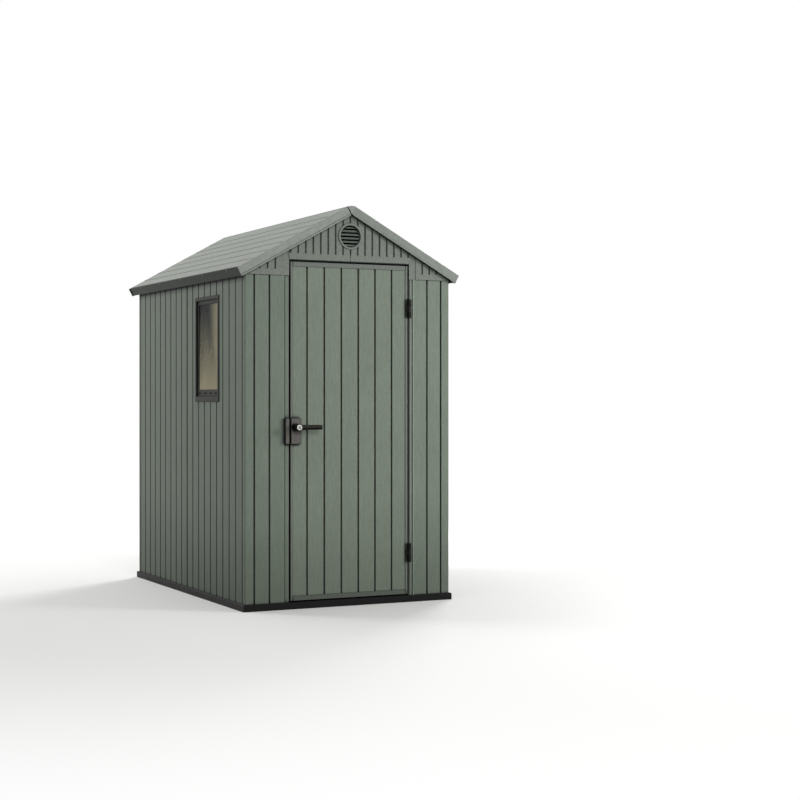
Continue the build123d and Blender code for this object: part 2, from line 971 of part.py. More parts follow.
strip_edge = doorway_half + strip_width
front_board = (half_width - corner_board - strip_edge) / front_boards
front_grooves = [half_width - corner_board - k * front_board for k in range(front_boards)]
back_board = (half_width - corner_board) / back_boards
back_grooves = [k * back_board for k in range(back_boards + 1)]
for side_name, side in sides.items():
    front_panel = make_corner_panel(side, -1, doorway_half, strip_recess, front_grooves)
    save(front_panel, "front_panel_" + side_name)
    back_panel = make_corner_panel(side, 1, 0, 0, back_grooves)
    save(back_panel, "back_panel_" + side_name)
    save(make_roof_panel(side), "roof_" + side_name)
    save(make_eave_fascia(side), "eave_fascia_" + side_name)
    save(make_door_post(side), "door_post_" + side_name)
    for end_name, end in ends.items():
        save(make_side_panel(side, end), "wall_" + side_name + "_" + end_name)
        save(make_gable_panel(side, end), "gable_" + end_name + "_" + side_name)
        save(make_rake_band(side, end), "rake_band_" + end_name + "_" + side_name)

save(make_vent(-1), "vent_front")
save(make_vent(1), "vent_back")
save(make_ridge_cap(), "ridge_cap")
save(make_ridge_beam(), "ridge_beam")
save(make_door_head(), "door_head")
save(make_door_leaf(), "door_leaf")
for hinge_name, centre_z in hinge_heights.items():
    save(make_hinge_half(centre_z, False), "hinge_" + hinge_name + "_frame")
    save(make_hinge_half(centre_z, True), "hinge_" + hinge_name + "_leaf")
    save(make_hinge_pin(centre_z), "hinge_" + hinge_name + "_pin")
save(make_lock_case(), "lock_case")
save(make_keeper(), "lock_keeper")
save(make_lever(), "lever")
save(make_key_cylinder(), "key_cylinder")
save(make_window_frame(), "window_frame")
save(make_window_sash(), "window_sash")
save(make_window_glass(), "window_glass")
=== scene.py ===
# %% [markdown]
# # A resin garden shed
#
# The shed comes from the drawing office as forty-two plain solids: floor, wall panels, gables,
# roof, door, hinges, lock and window. This file gives each one the finish of the real piece, adds
# the small parts that were left out of the drawing, and sets up a plain studio to look at it.
# Everything is in metres, in the drawing's own frame: +X to the right along the door front, +Y
# into the depth, +Z up, with the origin in the middle of the floor's underside.

# %% Load the shed
import math
import bmesh
import bpy
from mathutils import Matrix, Vector


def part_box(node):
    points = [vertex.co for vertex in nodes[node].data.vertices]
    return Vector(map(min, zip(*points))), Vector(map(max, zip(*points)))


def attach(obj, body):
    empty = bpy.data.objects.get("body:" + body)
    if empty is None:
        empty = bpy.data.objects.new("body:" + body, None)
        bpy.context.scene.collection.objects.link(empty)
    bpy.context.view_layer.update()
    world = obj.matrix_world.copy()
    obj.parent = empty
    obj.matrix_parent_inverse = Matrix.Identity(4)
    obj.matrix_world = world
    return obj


MM = 0.001
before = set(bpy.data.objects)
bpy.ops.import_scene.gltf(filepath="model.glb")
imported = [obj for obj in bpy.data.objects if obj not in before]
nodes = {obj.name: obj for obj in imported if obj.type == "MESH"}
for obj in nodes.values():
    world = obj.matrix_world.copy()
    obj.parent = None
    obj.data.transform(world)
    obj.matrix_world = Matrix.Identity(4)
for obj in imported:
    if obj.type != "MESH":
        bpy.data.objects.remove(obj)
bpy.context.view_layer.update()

# %% [markdown]
# ## Helpers for colours and nodes
#
# Colours are picked on a screen, so they are written as sRGB hex. A shader works in linear light,
# and one function makes the change. Another adds a node, sets it up and feeds its inputs, so that
# each material further down reads as a list of what it does to the surface.
# Two nodes turn up all the time. Map Range takes its inputs in this order: the value, the two ends
# it comes in between, and the two ends it goes out between. Mix has sockets for numbers, vectors
# and colours under the same names, so its colour sockets are told apart by their numbers.

# %% Colour and node helpers
def linear(hex_colour):
    """Turn an sRGB hex colour into linear red, green, blue and alpha."""
    parts = [int(hex_colour[k:k + 2], 16) / 255 for k in (0, 2, 4)]
    return [((c + 0.055) / 1.055) ** 2.4 if c > 0.04045 else c / 12.92 for c in parts] + [1.0]


def add(tree, kind, inputs=(), **settings):
    """Add a node with its settings and feed its inputs.

    The inputs are a list in the node's own order, or a dictionary by name or number. Each one is
    a value, an output of another node, or a node, which stands for its first output.
    """
    node = tree.nodes.new("ShaderNode" + kind)
    for name, value in settings.items():
        setattr(node, name, value)
    pairs = inputs.items() if isinstance(inputs, dict) else enumerate(inputs)
    for key, value in pairs:
        if isinstance(value, bpy.types.Node):
            value = value.outputs[0]
        if isinstance(value, bpy.types.NodeSocket):
            tree.links.new(value, node.inputs[key])
        else:
            node.inputs[key].default_value = value
    return node


def new_material(name):
    """A material with an empty node tree."""
    material = bpy.data.materials.new(name)
    material.use_nodes = True
    material.node_tree.nodes.clear()
    return material


def in_mm(*lengths):
    """Lengths in millimetres, rounded for printing."""
    return [round(length / MM, 1) for length in lengths]


MIX_A, MIX_B, MIX_COLOUR = 6, 7, 2
WHITE = [1.0, 1.0, 1.0, 1.0]
print("a mid grey of 777777 is", round(linear("777777")[0], 3), "in linear light")

# %% [markdown]
# ## The camera
#
# The photograph shows the shed from its front left corner, from about a person's chest height, and
# almost level, so that the upright edges stay upright. The camera stands where a fit of the shed's
# corners puts it, and its long lens keeps the perspective as weak as it is in the photograph.

# %% Camera
CAMERA_PLACE = Vector((-3.468, -8.401, 1.078))
CAMERA_YAW = math.radians(26.53)
CAMERA_PITCH = math.radians(-0.12)
LENS_MM = 72.2
SENSOR_MM = 36

camera = bpy.data.objects.new("camera", bpy.data.cameras.new("camera"))
camera.data.lens = LENS_MM
camera.data.sensor_width = SENSOR_MM
camera.location = CAMERA_PLACE
camera.rotation_euler = (math.pi / 2 + CAMERA_PITCH, 0, -CAMERA_YAW)
bpy.context.scene.collection.objects.link(camera)
bpy.context.scene.camera = camera
print("camera", round(CAMERA_PLACE.xy.length, 2), "m from the middle of the shed")

# %% [markdown]
# ## The surround
#
# A resin shed stands outdoors under a broad sky. A sky picture would put its own colours on the
# resin, so a plain dim surround stands in for it and gives every face some light. What the camera,
# a reflection or the window sees of the surround is plain white, through the Light Path node. The
# shed itself is lit at the lower level, so that a colour comes out about as it is written.

# %% Surround
SURROUND_GREY = [0.42, 0.42, 0.42, 1.0]


def seen_directly(tree):
    """One for camera, reflection and see-through rays, and nought for the light on the shed."""
    ray = add(tree, "LightPath").outputs
    first = add(tree, "Math", [ray["Is Camera Ray"], ray["Is Glossy Ray"]], operation="MAXIMUM")
    return add(tree, "Math", [first, ray["Is Transmission Ray"]], operation="MAXIMUM")


world = bpy.data.worlds.new("studio_surround")
bpy.context.scene.world = world
world.use_nodes = True
tree = world.node_tree
tree.nodes.clear()
tone = add(
    tree,
    "Mix",
    {0: seen_directly(tree), MIX_A: SURROUND_GREY, MIX_B: WHITE},
    data_type="RGBA",
)
sky = add(tree, "Background", {"Color": tone.outputs[MIX_COLOUR]})
add(tree, "OutputWorld", {"Surface": sky})
print("surround at", SURROUND_GREY[0], "for the light, and white for the camera")

# %% [markdown]
# ## The studio floor
#
# The shed stands on a large pale floor, which keeps its shadow. A floor as bright as it looks would
# throw light up at the walls that the real ground doesn't, so it is darker for the light than for
# the camera. Some metres away it fades into the white of the surround, so that no horizon shows.

# %% Studio floor
FLOOR_GREY = [0.20, 0.20, 0.20, 1.0]
FLOOR_LOOK = "F0F0EE"
FLOOR_SIZE = 60
FLOOR_FADE = (2.2, 5.5)

mesh = bmesh.new()
bmesh.ops.create_grid(mesh, x_segments=1, y_segments=1, size=FLOOR_SIZE / 2)
studio_floor = bpy.data.objects.new("studio_floor", bpy.data.meshes.new("studio_floor"))
mesh.to_mesh(studio_floor.data)
mesh.free()
bpy.context.scene.collection.objects.link(studio_floor)

paint = new_material("painted_studio_floor")
tree = paint.node_tree
seen = seen_directly(tree)
tone = add(
    tree,
    "Mix",
    {0: seen, MIX_A: FLOOR_GREY, MIX_B: linear(FLOOR_LOOK)},
    data_type="RGBA",
)
matt = add(tree, "BsdfDiffuse", {"Color": tone.outputs[MIX_COLOUR]})
glow = add(tree, "Emission", {"Color": WHITE})
place = add(tree, "TexCoord").outputs["Object"]
distance = add(tree, "VectorMath", [place], operation="LENGTH").outputs["Value"]
far = add(tree, "MapRange", [distance, *FLOOR_FADE], interpolation_type="SMOOTHSTEP")
fade = add(tree, "Math", [far, seen], operation="MULTIPLY")
both = add(tree, "MixShader", [fade, matt, glow])
add(tree, "OutputMaterial", {"Surface": both})
studio_floor.data.materials.append(paint)
print("studio floor fades out between", FLOOR_FADE, "m")

# %% [markdown]
# ## The lamps
#
# The photograph was taken in soft daylight, most of it from behind the camera. One lamp could light
# the front, but would leave the window side dark. So lamps stand in front, on the left towards the
# back, and overhead. One more stands behind, for the faces that the photograph doesn't show, and a
# smaller one on the right makes the front a little lighter towards the hinges. All are square and
# more than a metre wide, which keeps the shadows soft.

# %% Lamps
LAMPS = {
    "front_lamp": {"place": (-1.6, -8.4, 3.2), "size": 2.6, "watts": 228},
    "right_lamp": {"place": (3.2, -3.6, 1.9), "size": 1.2, "watts": 82},
    "left_lamp": {"place": (-4.2, 3.2, 3.6), "size": 1.6, "watts": 92},
    "top_lamp": {"place": (-1.3, 2.6, 7.2), "size": 3.6, "watts": 92},
    "rear_lamp": {"place": (5.4, 5.4, 3.6), "size": 2.5, "watts": 470},
}
LAMP_TARGET = Vector((0, 0, 1))

for name, values in LAMPS.items():
    light = bpy.data.lights.new(name, "AREA")
    light.size = values["size"]
    light.energy = values["watts"]
    lamp = bpy.data.objects.new(name, light)
    lamp.location = values["place"]
    lamp.rotation_euler = (LAMP_TARGET - lamp.location).to_track_quat("-Z", "Y").to_euler()
    lamp.visible_camera = False
    bpy.context.scene.collection.objects.link(lamp)
bpy.context.scene.view_settings.view_transform = "Standard"
print("lamps", sorted(LAMPS))

# %% [markdown]
# ## Moulded polypropylene with a wood grain
#
# The panels of such a shed are blow moulded in polypropylene. The steel mould is etched with a
# brushed wood grain, so the colour goes right through the resin while fine ridges run along each
# board. A photograph of wood would show knots that resin doesn't have, and carving the ridges would
# take millions of faces. A stretched noise pattern gives the ridges: short across the board and
# long along it. It is used twice, once for the colour, because dust settles between the ridges,
# and once for the height, which breaks up the light.
# Real ridges are 1 to 2 mm wide, which is finer than a pixel here, so the wider of the two patterns
# is drawn 6 mm wide and 70 mm long.
# The grain follows the board: upright on the walls, lengthwise on the roof, and up the slope on the
# bands at the roof's ends. A Mapping node of the Texture type divides the place by a size and turns
# it back, so its sizes are simply the real ones along X, Y and Z.

# %% Grain as a pattern
GRAIN_WIDTH = 6 * MM
GRAIN_LENGTH = 70 * MM
FIBRE_WIDTH = 1.6 * MM
FIBRE_LENGTH = 30 * MM


def grain_noise(tree, place, width, length, along, turn=0.0):
    """Noise that is short across the board and long along it, from 0 to 1 about 0.5."""
    size = [width, width, width]
    size["XYZ".index(along)] = length
    stretched = add(
        tree,
        "Mapping",
        {"Vector": place, "Rotation": (0, turn, 0), "Scale": size},
        vector_type="TEXTURE",
    )
    noise = add(
        tree,
        "TexNoise",
        {"Vector": stretched, "Scale": 1, "Detail": 3, "Roughness": 0.6},
    )
    return noise.outputs["Fac"]


print("grain", in_mm(GRAIN_WIDTH, GRAIN_LENGTH), "mm, fibre", in_mm(FIBRE_WIDTH, FIBRE_LENGTH), "mm")

# %% [markdown]
# ## Tones by place
#
# Some pieces change tone at a fixed place: a door panel's edges are painted dark, as the shade of
# the narrow gap they face, and a hinge is black on its barrel and grey on its plates. Cutting the
# meshes there isn't allowed, because the drawing's pieces keep their shape. The place itself, which
# a material can read, tells the tones apart just as well. A list of patches does it: each one lays
# its tone over those before it, so a later patch can also bring the plain tone back. SIDE stands
# for the distance from the shed's middle plane, so that one line does both hands.

# %% Patches and shades
EDGE_BLUR = 0.4 * MM


def painted(tree, place, colour, patches):
    """Lay tones over a colour.

    A patch is (axis, start, end, tone). It is nothing at its start, and full at its end and beyond.
    """
    axes = add(tree, "SeparateXYZ", [place]).outputs
    for axis, start, end, tone in patches:
        if axis == "SIDE":
            value = add(tree, "Math", [axes["X"]], operation="ABSOLUTE")
        else:
            value = axes[axis]
        share = add(tree, "MapRange", [value, start, end])
        mix = add(tree, "Mix", {0: share, MIX_A: colour, MIX_B: linear(tone)}, data_type="RGBA")
        colour = mix.outputs[MIX_COLOUR]
    return colour


def shaded(tree, colour, shade):
    """A colour made darker or lighter by a number."""
    grey = add(tree, "CombineColor", [shade, shade, shade])
    mix = add(
        tree,
        "Mix",
        {0: 1.0, MIX_A: colour, MIX_B: grey},
        data_type="RGBA",
        blend_type="MULTIPLY",
    )
    return mix.outputs[MIX_COLOUR]


print("the edge of a patch is", in_mm(EDGE_BLUR), "mm wide")

# %% [markdown]
# ## Weathering and painted shade
#
# Moulded resin outdoors keeps dust and algae in its grooves and joints, where no cloth reaches, and
# the same darkening also paints the shade that falls into grooves, joints and gaps between parts.
# Painting each groove by hand would be lost as soon as a size changes. An Ambient Occlusion node
# finds grooves and joints by itself, because little of the surround is seen from inside them. What
# faces down, such as the lower side of a louvre, is darkened by its normal, which is painted shade.
# The height above the ground gives a darker foot: painted shade from the ground, with some soil that
# the rain splashes on the lowest boards.

# %% Weathering and painted shade
JOINT_REACH = 24 * MM
JOINT_SPREAD = (0.88, 0.58)
JOINT_DIRT_AND_SHADE = "0A0C0A"
UNDERSIDE_SHADE_SPREAD = (-0.45, -0.8)
UNDERSIDE_SHADE_SHARE = 0.95
FOOT_SHADE_HEIGHT = 620 * MM
FOOT_SHADE_TONE = "3F463C"
FOOT_SHADE_SHARE = 0.46


def weathered_and_shaded(tree, place, colour, foot_shade=FOOT_SHADE_SHARE, reach=JOINT_REACH, joint_dirt_and_shade=1.0):
    """Darken foot, joints, grooves and undersides: painted shade with some dirt and soil."""
    height = add(tree, "SeparateXYZ", [place]).outputs["Z"]
    # The foot darkens towards the ground: painted shade, with some splashed soil.
    foot_share = add(
        tree,
        "MapRange",
        [height, FOOT_SHADE_HEIGHT, 0.0, 0.0, foot_shade],
        interpolation_type="SMOOTHSTEP",
    )
    foot_shaded = add(
        tree,
        "Mix",
        {0: foot_share, MIX_A: colour, MIX_B: linear(FOOT_SHADE_TONE)},
        data_type="RGBA",
    )
    # Grooves, joints and gaps between parts go near black: dirt, and painted shade.
    openness = add(tree, "AmbientOcclusion", {"Distance": reach}, samples=8).outputs["AO"]
    closed = add(tree, "MapRange", [openness, *JOINT_SPREAD])
    joint = add(tree, "Math", [closed, joint_dirt_and_shade], operation="MULTIPLY")
    # Faces that look down are darkened: painted shade.
    normal = add(tree, "NewGeometry").outputs["Normal"]
    upward = add(tree, "SeparateXYZ", [normal]).outputs["Z"]
    below = add(tree, "MapRange", [upward, *UNDERSIDE_SHADE_SPREAD, 0.0, UNDERSIDE_SHADE_SHARE])
    dark = add(tree, "Math", [joint, below], operation="MAXIMUM")
    darkened = add(
        tree,
        "Mix",
        {0: dark, MIX_A: foot_shaded.outputs[MIX_COLOUR], MIX_B: linear(JOINT_DIRT_AND_SHADE)},
        data_type="RGBA",
    )
    return darkened.outputs[MIX_COLOUR]


# The darker foot, painted shade with some splashed soil, reaches this high.
print("rain splashes up to", in_mm(FOOT_SHADE_HEIGHT), "mm above the ground")

# %% [markdown]
# ## The grained resin as a material
#
# One function makes every grained finish. Four patterns shade the tone: the grain, a finer fibre, a
# broad blotch from the cooling of the panel, and a small mottle. The same grain and fibre are the
# height of the bump. The eye gets a dull, dry surface with fine lines along each board.
# On the bands the grain follows the roof's slope, which differs in sign between the left and the
# right. The absolute value of the place makes one pattern fit both.
# A panel can have lighter joints up to a place along X: less of their dirt and painted shade.

# %% Grained resin
GRAIN_HEIGHT = 0.4 * MM
MOTTLE_SIZE = 16 * MM
BLOTCH_SIZE = 180 * MM
GRAIN_SPREAD = (0.32, 0.66)
GRAIN_SHADES = (0.88, 1.03)
NOISE_SPREAD = (0.3, 0.7)
FIBRE_SHADES = (0.94, 1.04)
BLOTCH_SHADES = (0.96, 1.03)
GRAIN_ROUGHNESS = 0.58
SEAM_JOINT_SHARE = 0.2
SEAM_JOINT_BLUR = 1 * MM
PP_IOR = 1.49


def grained_resin(
    name,
    face,
    along,
    turn=0.0,
    mottle=0.04,
    patches=(),
    specular=0.3,
    foot_shade=FOOT_SHADE_SHARE,
    joint_dirt_and_shade=1.0,
    lighter_joints_to=None,
):
    """Polypropylene moulded with a brushed wood grain."""
    material = new_material(name)
    tree = material.node_tree
    place = add(tree, "TexCoord").outputs["Object"]
    board = add(tree, "VectorMath", [place], operation="ABSOLUTE") if turn else place
    # Up to that place the joints get less of their dirt and painted shade.
    if lighter_joints_to is not None:
        across = add(tree, "SeparateXYZ", [place]).outputs["X"]
        ends = (lighter_joints_to, lighter_joints_to + SEAM_JOINT_BLUR)
        joint_dirt_and_shade = add(tree, "MapRange", [across, *ends, SEAM_JOINT_SHARE, joint_dirt_and_shade])
    grain = grain_noise(tree, board, GRAIN_WIDTH, GRAIN_LENGTH, along, turn)
    fibre = grain_noise(tree, board, FIBRE_WIDTH, FIBRE_LENGTH, along, turn)
    speck = add(tree, "TexNoise", {"Vector": place, "Scale": 1 / MOTTLE_SIZE, "Detail": 4})
    blotch = add(tree, "TexNoise", {"Vector": place, "Scale": 1 / BLOTCH_SIZE, "Detail": 2})
    shade = 1.0
    for pattern, spread, shades in (
        (grain, GRAIN_SPREAD, GRAIN_SHADES),
        (fibre, NOISE_SPREAD, FIBRE_SHADES),
        (blotch.outputs["Fac"], NOISE_SPREAD, BLOTCH_SHADES),
        (speck.outputs["Fac"], NOISE_SPREAD, (1 - mottle, 1 + mottle)),
    ):
        layer = add(tree, "MapRange", [pattern, *spread, *shades])
        shade = add(tree, "Math", [shade, layer], operation="MULTIPLY")
    colour = shaded(tree, painted(tree, place, linear(face), patches), shade)
    relief = add(tree, "Math", [grain, fibre], operation="ADD")
    bump = add(tree, "Bump", {"Height": relief, "Distance": GRAIN_HEIGHT, "Strength": 1.0})
    surface = add(
        tree,
        "BsdfPrincipled",
        {
            "Base Color": weathered_and_shaded(tree, place, colour, foot_shade, joint_dirt_and_shade=joint_dirt_and_shade),
            "Roughness": GRAIN_ROUGHNESS,
            "IOR": PP_IOR,
            "Specular IOR Level": specular,
            "Normal": bump,
        },
    )
    add(tree, "OutputMaterial", {"Surface": surface})
    return material


print("grain ridges stand", GRAIN_HEIGHT / MM, "mm high, mottle", in_mm(MOTTLE_SIZE), "mm")

# %% [markdown]
# ### Walls and front panels
#
# The walls are grey green. Right under the fascias they are in shade, which ends in a thin black
# line where the roof meets them. The lamps are softer than the real sky there, so two patches paint
# that shade and its black line, and a third brings the plain tone back on every face but the outer
# one. The two front panels are the same resin; the one on the hinge side is painted a little
# lighter, as more light on it would make it. The lock side has painted black shade where it turns
# into the doorway. The hinge side has a strip 25 mm wide along the doorway, whose turned edge has
# painted black shade too, and then a narrow V seam. Its flank next to the strip is painted paler
# than the boards, painted light against the shade in the V, and near it the joints get less of
# their dirt and painted shade.

# %% Wall and front panel finishes
WALL_TONE = "6C766A"
# Painted shade towards the foot of the walls, with some splashed soil.
WALL_FOOT_SHADE = 0.66
LOCK_SIDE_TONE = "6F7A6D"
# The hinge side is painted a little lighter, as more light on it would make it.
HINGE_SIDE_PAINTED_LIGHT = "747F72"
# Painted light on the V seam's flank next to the strip.
SEAM_PAINTED_LIGHT = "A3AFA0"
# Painted shade under the fascias, and the painted black shade line at joints and gaps.
EAVE_SHADE_TONE = "262B25"
PAINTED_SHADE_LINE = "10120F"
EAVE_SHADE = 34 * MM
EAVE_LINE = 6 * MM
STRIP_WIDTH = 25 * MM
TURNED_EDGE = 7 * MM
SEAM_FLANK = 2.5 * MM
SEAM_LIGHTER_JOINTS = 3.5 * MM
wall_side = -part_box("wall_left_front")[0].x
fascia_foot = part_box("eave_fascia_left")[0].z
doorway_side = -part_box("front_panel_left")[1].x
seam_start = doorway_side + STRIP_WIDTH
seam_middle = seam_start + SEAM_FLANK


def eave_shade(tone):
    """Patches that paint the shade on the side walls under the fascias."""
    return [
        ("Z", fascia_foot - EAVE_SHADE, fascia_foot, EAVE_SHADE_TONE),
        ("Z", fascia_foot - EAVE_LINE, fascia_foot - EAVE_LINE / 2, PAINTED_SHADE_LINE),
        ("SIDE", wall_side - EDGE_BLUR, wall_side - 2 * EDGE_BLUR, tone),
    ]


wall_finish = grained_resin(
    "moulded_polypropylene_wall",
    WALL_TONE,
    along="Z",
    foot_shade=WALL_FOOT_SHADE,
    patches=eave_shade(WALL_TONE),
)
lock_side_finish = grained_resin(
    "moulded_polypropylene_front_lock_side",
    LOCK_SIDE_TONE,
    along="Z",
    patches=[
        *eave_shade(LOCK_SIDE_TONE),
        # Painted shade: black on the edge that turns into the doorway.
        ("SIDE", doorway_side + EDGE_BLUR, doorway_side + EDGE_BLUR / 2, PAINTED_SHADE_LINE),
    ],
)
hinge_side_finish = grained_resin(
    "moulded_polypropylene_front_hinge_side",
    HINGE_SIDE_PAINTED_LIGHT,
    along="Z",
    patches=[
        *eave_shade(HINGE_SIDE_PAINTED_LIGHT),
        # Painted shade on the turned edge, then painted light on the seam's near flank.
        ("X", doorway_side + TURNED_EDGE + EDGE_BLUR, doorway_side + TURNED_EDGE, PAINTED_SHADE_LINE),
        ("X", seam_start - EDGE_BLUR, seam_start, SEAM_PAINTED_LIGHT),
        ("X", seam_middle, seam_middle + EDGE_BLUR, HINGE_SIDE_PAINTED_LIGHT),
    ],
    # Near the seam the joints get less of their dirt and painted shade.
    lighter_joints_to=seam_middle + SEAM_LIGHTER_JOINTS,
)
print("doorway", in_mm(2 * doorway_side), "mm wide, seam at", in_mm(seam_middle), "mm")

# %% [markdown]
# ### Gables
#
# The gables come from another batch of resin and are greyer, with a coarser mottle and less of the
# dark dirt and painted shade in their joints. The front one has a painted shadow line where its
# lower edge looks down on the door.

# %% Gable finishes
GABLE_TONE = "757B73"
GABLE_MOTTLE = 0.13
# The gables' joints get less of their dirt and painted shade.
GABLE_JOINT_DIRT_AND_SHADE = 0.65
HEAD_GAP = 7.5 * MM
HEAD_EDGE = 4 * MM
leaf_low, leaf_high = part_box("door_leaf")
head_line = leaf_high.z + HEAD_GAP + HEAD_EDGE
gable_resin = {"face": GABLE_TONE, "along": "Z", "mottle": GABLE_MOTTLE, "joint_dirt_and_shade": GABLE_JOINT_DIRT_AND_SHADE}

front_gable_finish = grained_resin(
    "moulded_polypropylene_front_gable",
    patches=[
        # Painted shadow line over the door.
        ("Z", head_line + EDGE_BLUR, head_line, PAINTED_SHADE_LINE),
        ("SIDE", doorway_side, doorway_side + EDGE_BLUR, GABLE_TONE),
    ],
    **gable_resin,
)
back_gable_finish = grained_resin("moulded_polypropylene_back_gable", **gable_resin)
print("dark line over the door up to", in_mm(head_line), "mm")

# %% [markdown]
# ### Door
#
# The door is grey green like the walls. Its raised border, 13 mm wide at the sides and 23 mm at the
# ends, shows a little darker than the planks inside it, and darker again at the foot. The edges of
# the leaf face a narrow gap and are painted black, as the shade in that gap.

# %% Door finish
DOOR_STILE = 13 * MM
DOOR_RAIL = 23 * MM
GAP_SHADE_EDGE = 1.5 * MM
# Painted shade towards the door's foot, with some splashed soil.
DOOR_FOOT_SHADE = 0.34
BORDER_TONE = "6B716A"

door_finish = grained_resin(
    "moulded_polypropylene_door",
    "757F72",
    along="Z",
    foot_shade=DOOR_FOOT_SHADE,
    patches=[
        ("SIDE", leaf_high.x - DOOR_STILE - EDGE_BLUR, leaf_high.x - DOOR_STILE, BORDER_TONE),
        ("Z", leaf_high.z - DOOR_RAIL - EDGE_BLUR, leaf_high.z - DOOR_RAIL, BORDER_TONE),
        ("Z", leaf_low.z + DOOR_RAIL + EDGE_BLUR, leaf_low.z + DOOR_RAIL, "565B54"),
        # Painted shade: the leaf's edges that face the gap.
        ("SIDE", leaf_high.x - GAP_SHADE_EDGE, leaf_high.x - EDGE_BLUR, PAINTED_SHADE_LINE),
        ("Z", leaf_high.z - GAP_SHADE_EDGE, leaf_high.z - EDGE_BLUR, PAINTED_SHADE_LINE),
    ],
)
print("door border starts", in_mm(leaf_high.x - DOOR_STILE), "mm from the middle")

# %% [markdown]
# ### Roof, bands and fascias
#
# The roof panels and the bands at the roof's ends are a paler grey. The bands have painted black
# shade in the joint at the ridge and in the one where the roof's back edge ends on them, and the
# right hand ones are a little less pale than the left hand ones. The fascias along the eaves are a
# dark grey that is painted paler towards the back, as more of the sky's light there would make
# them, and they shine less.

# %% Roof, band and fascia finishes
ROOF_ANGLE = math.radians(29)
ROOF_TONE = "8F948D"
RIDGE_JOINT = 9 * MM
BACK_JOINT = 7 * MM
roof_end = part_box("roof_left")[1].y

roof_finish = grained_resin("moulded_polypropylene_roof", ROOF_TONE, along="Y")
band_finish = grained_resin(
    "moulded_polypropylene_band",
    ROOF_TONE,
    along="X",
    turn=ROOF_ANGLE,
    mottle=0.08,
    patches=[
        # Painted shade in the joints at the roof's back edge and at the ridge.
        ("Y", roof_end - EDGE_BLUR, roof_end, PAINTED_SHADE_LINE),
        ("Y", roof_end + BACK_JOINT, roof_end + BACK_JOINT + EDGE_BLUR, ROOF_TONE),
        ("X", -RIDGE_JOINT - 2 * EDGE_BLUR, -RIDGE_JOINT, PAINTED_SHADE_LINE),
        ("X", -EDGE_BLUR, 0, "838982"),
    ],
)
fascia_finish = grained_resin(
    "moulded_polypropylene_fascia",
    "373B36",
    along="Y",
    specular=0.15,
    # Painted light: the fascia grows paler towards the back.
    patches=[("Y", leaf_low.y / 2, -leaf_low.y, "434841")],
)
print("the roof ends", in_mm(roof_end), "mm behind the middle")

# %% [markdown]
# ## Smooth moulded resin
#
# The floor, the posts, the vents, the window frame, the hinges and the lever are injection moulded
# in plain steel moulds whose faces were spark eroded. That leaves a fine even stipple, which
# spreads the highlights: roughness about 0.4 to 0.6, and a bump far too fine to see as a shape.
# A faint cloud, as large as the blotches of the grained resin, keeps the tone from being quite even.
# A matt black resin reflects less than the physics of a smooth one says, because its stipple traps
# light, so the specular level of the dark pieces is well below its usual 0.5.

# %% Smooth resin
STIPPLE = 1.2 * MM
STIPPLE_HEIGHT = 0.05 * MM
CLOUD_SPREAD = (0.35, 0.65)
CLOUD_SHADES = (0.92, 1.05)
GLOSS_CHANGE = 0.06


def smooth_resin(name, face, roughness, specular=0.5, patches=(), reach=JOINT_REACH):
    """Injection moulded resin with a spark eroded face."""
    material = new_material(name)
    tree = material.node_tree
    place = add(tree, "TexCoord").outputs["Object"]
    stipple = add(tree, "TexNoise", {"Vector": place, "Scale": 1 / STIPPLE, "Detail": 1})
    bump = add(tree, "Bump", {"Height": stipple.outputs["Fac"], "Distance": STIPPLE_HEIGHT})
    noise = add(tree, "TexNoise", {"Vector": place, "Scale": 1 / BLOTCH_SIZE, "Detail": 3})
    cloud = noise.outputs["Fac"]
    shade = add(tree, "MapRange", [cloud, *CLOUD_SPREAD, *CLOUD_SHADES])
    colour = shaded(tree, painted(tree, place, linear(face), patches), shade)
    gloss = (roughness - GLOSS_CHANGE, roughness + GLOSS_CHANGE)
    surface = add(
        tree,
        "BsdfPrincipled",
        {
            "Base Color": weathered_and_shaded(tree, place, colour, foot_shade=0.0, reach=reach),
            "Roughness": add(tree, "MapRange", [cloud, 0.0, 1.0, *gloss]),
            "IOR": PP_IOR,
            "Specular IOR Level": specular,
            "Normal": bump,
        },
    )
    add(tree, "OutputMaterial", {"Surface": surface})
    return material


print("stipple", in_mm(STIPPLE), "mm wide")

# %% [markdown]
# ### Vents, posts, floor, clips and seals
#
# A vent is grey green like the wall, and its louvres stand so close that only a short reach finds
# the gaps between them, which get painted shade. The posts behind the door are painted nearly black
# as the shade in the door's gaps, the floor is nearly black, and both are dull. The spring clips of
# the eaves are painted pale, which stands for the highlight they catch, and have a slight shine. The
# seals are soft rubber, the dullest of all, because its surface is faintly tacky and holds dust.

# %% Plain smooth finishes
BLACK_TONE = "121311"
LOUVRE_REACH = 9 * MM

# Painted shade in the gaps between the louvres, found within a short reach.
vent_finish = smooth_resin(
    "moulded_polypropylene_vent",
    "747B74",
    roughness=0.5,
    specular=0.25,
    reach=LOUVRE_REACH,
)
# Painted shade: the posts are nearly black so the door's gaps look dark.
post_shade_finish = smooth_resin("moulded_polypropylene_post", BLACK_TONE, roughness=0.55, specular=0.1)
floor_finish = smooth_resin("moulded_polypropylene_floor", "080908", roughness=0.5, specular=0.15)
# Painted highlight: the clips are pale.
clip_highlight_finish = smooth_resin("moulded_nylon_clip", "B4B9B4", roughness=0.4)
rubber_finish = smooth_resin("moulded_rubber_seal", BLACK_TONE, roughness=0.6, specular=0.2)
print("the gaps between louvres are looked for within", in_mm(LOUVRE_REACH), "mm")

# %% [markdown]
# ### Window frame and sash
#
# The window's flange is lighter than the reveal behind it, which gets less of the sky and is painted
# darker as its shade. The sash is a brownish black, a little lighter on its bottom rail, because
# above it the sash is painted darker as shade.

